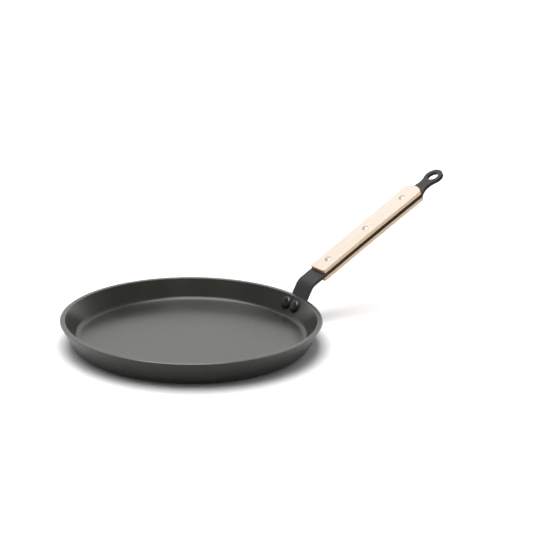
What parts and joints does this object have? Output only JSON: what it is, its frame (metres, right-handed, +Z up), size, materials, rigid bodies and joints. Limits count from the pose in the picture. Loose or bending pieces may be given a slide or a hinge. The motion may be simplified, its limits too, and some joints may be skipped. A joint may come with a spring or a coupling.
{
  "type": "crepe pan",
  "caption": "Shallow round pan with a flared wall and a bent metal strap handle faced with wooden scales and ending in a hanging eye, for frying thin pancakes.",
  "frame": {"origin": "middle of the base's underside", "axes": "+X along the handle as seen from above, +Z up, out of the pan"},
  "size_m": [0.4416, 0.2598, 0.1342],
  "materials": {
    "pan_coating": "dark grey non-stick coating, fine matt with a soft sheen",
    "strip_paint": "dark grey baked coating on flat steel",
    "scale_wood": "pale close-grained wood, sanded, unvarnished",
    "pan_rivet_metal": "dark coated rivet",
    "scale_rivet_metal": "bare satin metal"
  },
  "bodies": {
    "root": {"pan_body": "pan_coating", "handle_strip": "strip_paint", "upper_scale": "scale_wood", "lower_scale": "scale_wood", "pan_rivet_left": "pan_rivet_metal", "pan_rivet_right": "pan_rivet_metal", "scale_rivet_front": "scale_rivet_metal", "scale_rivet_middle": "scale_rivet_metal", "scale_rivet_rear": "scale_rivet_metal"}
  },
  "joints": []
}
